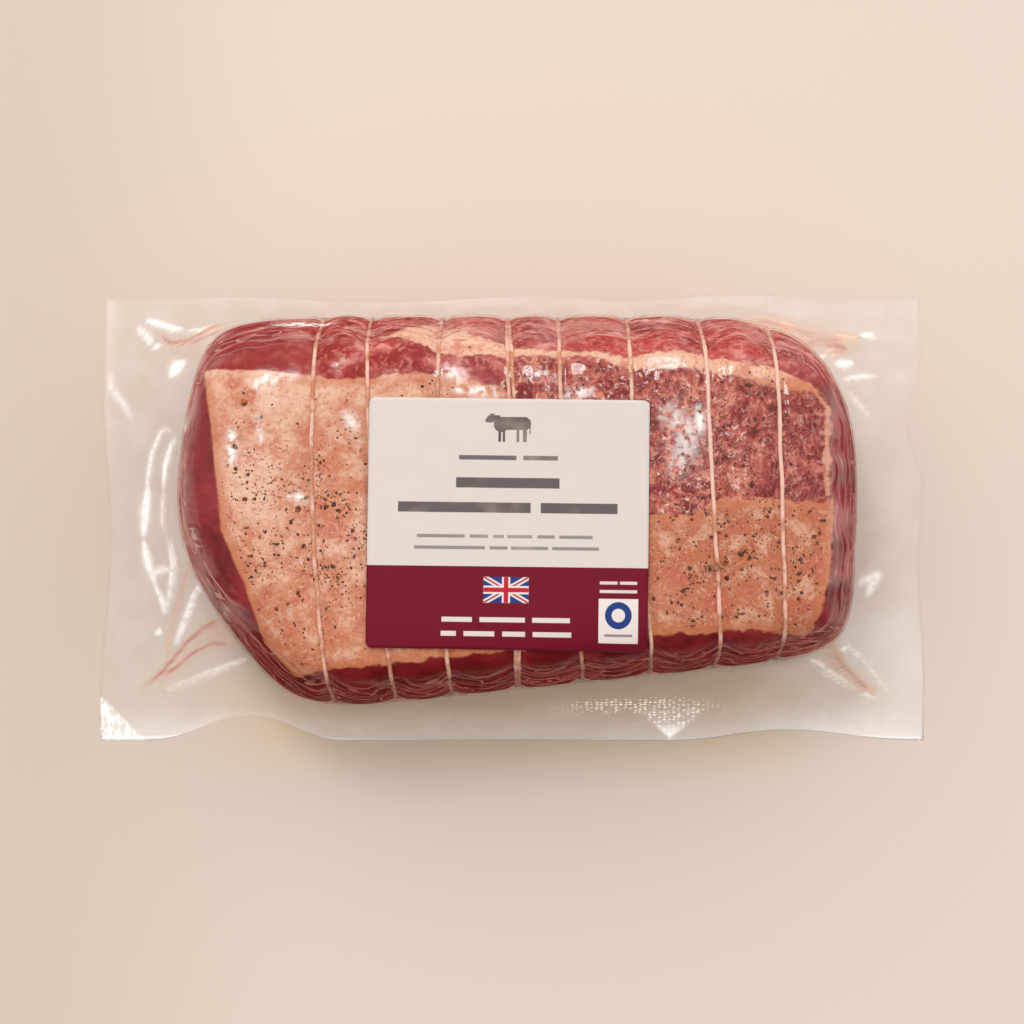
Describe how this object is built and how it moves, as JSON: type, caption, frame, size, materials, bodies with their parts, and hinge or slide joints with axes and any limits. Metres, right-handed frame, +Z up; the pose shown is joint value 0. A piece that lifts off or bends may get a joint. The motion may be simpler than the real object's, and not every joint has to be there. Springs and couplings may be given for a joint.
{
  "type": "vacuum-packed beef roasting joint",
  "caption": "Raw tied beef sirloin joint with a peppered fat cap, vacuum-packed in a clear pouch with wide free margins and a near-square paper label on top.",
  "frame": {"origin": "under the middle of the pouch's length and width, on the surface it lies on", "axes": "+X along the joint, towards its thicker right end; +Y towards the pouch's rear long edge; +Z up, out of the label"},
  "size_m": [0.29, 0.157, 0.0773],
  "materials": {
    "pouch_film": "clear glossy vacuum film, tight over the meat and milky where its two sheets lie together; the solid takes in the meat, whose colour it shows",
    "label_paper": "satin coated paper, warm white above a burgundy band",
    "beef": "wet dark red lean with a cream fat cap and cracked pepper, seen through the film",
    "twine": "cotton butcher's twine, soaked a little pink"
  },
  "bodies": {
    "root": {"pouch": "pouch_film", "label": "label_paper"}
  },
  "joints": []
}
